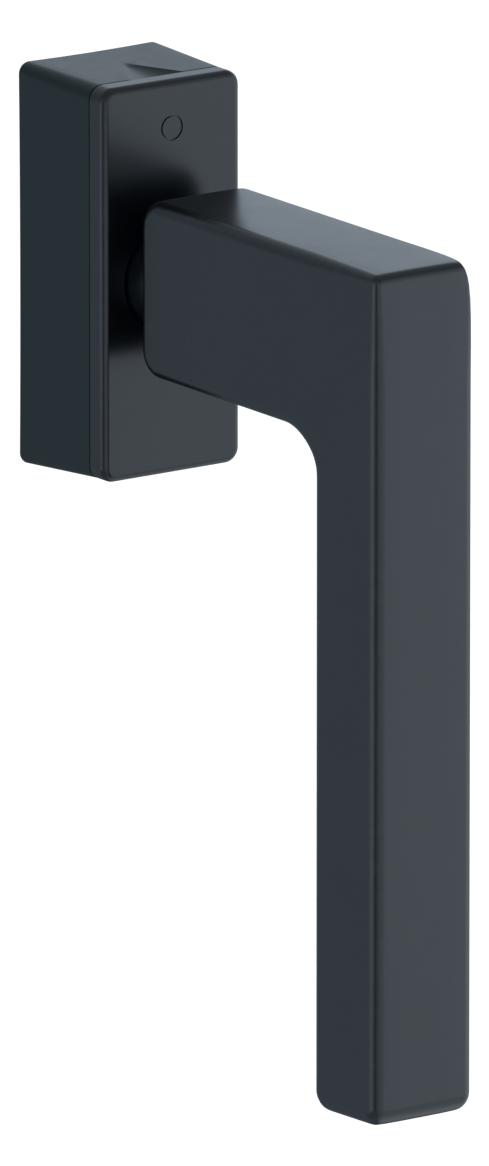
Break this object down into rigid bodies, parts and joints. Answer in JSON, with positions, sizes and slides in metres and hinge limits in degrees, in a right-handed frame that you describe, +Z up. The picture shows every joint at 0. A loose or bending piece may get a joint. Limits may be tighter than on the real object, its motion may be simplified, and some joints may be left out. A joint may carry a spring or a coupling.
{
  "type": "window lever handle",
  "caption": "Lever handle for a tilt-and-turn window: an L-shaped rectangular lever on a deep box rose with a lift-off cover, a detent and a self-powered radio position sender.",
  "frame": {"origin": "where the spindle's axis meets the face that lies on the window sash, midway between the two fixing screws", "axes": "+X to the right seen from the room, +Y into the window along the spindle and the screws, +Z up along the rose; at rest the lever points down, window closed"},
  "size_m": [0.0288, 0.1123, 0.1641],
  "materials": {
    "coated_aluminium": "satin black powder coat",
    "housing_plastic": "fine-textured black moulding",
    "zinc_casting": "die-cast zinc, tumbled",
    "zinc_plated_steel": "bright zinc plating",
    "spring_steel": "blued strip",
    "soft_iron": "sheared lamination",
    "natural_nylon": "natural moulding",
    "black_nylon": "glass-filled moulding",
    "red_acetal": "moulded",
    "copper": "enamelled winding wire",
    "nickel_plate": "nickel plating",
    "circuit_board": "solder mask",
    "capacitor_sleeve": "shrunk sleeve"
  },
  "bodies": {
    "base": {"base_housing": "housing_plastic", "carrier_plate": "zinc_casting", "plate_screws": "zinc_plated_steel", "fixing_screws": "zinc_plated_steel", "neck_bush": "natural_nylon", "detent_springs": "spring_steel", "sender_case": "black_nylon", "generator_core": "soft_iron", "coil_bobbin": "natural_nylon", "generator_coil": "copper", "generator_magnets": "nickel_plate", "generator_bow": "spring_steel", "sender_board": "circuit_board", "storage_capacitors": "capacitor_sleeve", "radio_shield": "nickel_plate", "antenna_strip": "copper"},
    "cover": {"cover_cap": "coated_aluminium", "cover_snap_frame": "black_nylon"},
    "lever": {"lever": "coated_aluminium", "spindle": "zinc_plated_steel", "spindle_pin": "spring_steel", "detent_cam": "natural_nylon", "sender_cam": "red_acetal", "thrust_washer": "zinc_plated_steel", "spring_washer": "spring_steel", "retaining_clip": "spring_steel"}
  },
  "joints": [
    {"name": "lever_turn", "type": "hinge", "parent": "base", "child": "lever", "pos_m": [0, 0, 0], "axis": [0, -1, 0], "range_deg": [-180, 180], "deforming": ["detent_springs", "generator_bow"]},
    {"name": "cover_lift", "type": "slide", "parent": "base", "child": "cover", "axis": [0, -1, 0], "range_m": [0, 0.0035], "deforming": ["cover_snap_frame"]}
  ]
}
